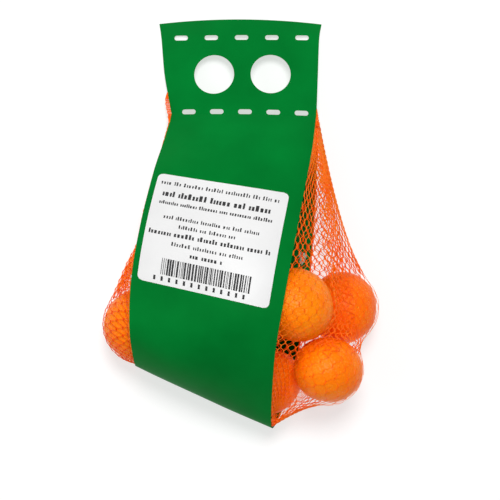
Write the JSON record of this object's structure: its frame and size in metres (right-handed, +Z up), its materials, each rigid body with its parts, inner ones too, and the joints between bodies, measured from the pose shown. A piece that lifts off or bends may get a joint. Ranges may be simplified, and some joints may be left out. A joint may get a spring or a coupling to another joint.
{
  "type": "net of mandarins",
  "caption": "Limp orange net bag full of mandarins, lying on its back, with a green film band that ends in a flat carrying header with finger holes and slots, and a white label.",
  "frame": {"origin": "centre of the part's footprint, on the surface that it lies on", "axes": "+Y from the bottom of the bag to its carrying header, +Z up through the labelled front"},
  "size_m": [0.2172, 0.3274, 0.1113],
  "materials": {
    "green_film": "smooth printed film with a soft gloss",
    "orange_net": "knitted plastic yarn over waxy mandarin peel",
    "white_label": "smooth sticker with plain dark print"
  },
  "bodies": {
    "root": {"film_band": "green_film", "net_bag": "orange_net", "label": "white_label"}
  },
  "joints": []
}
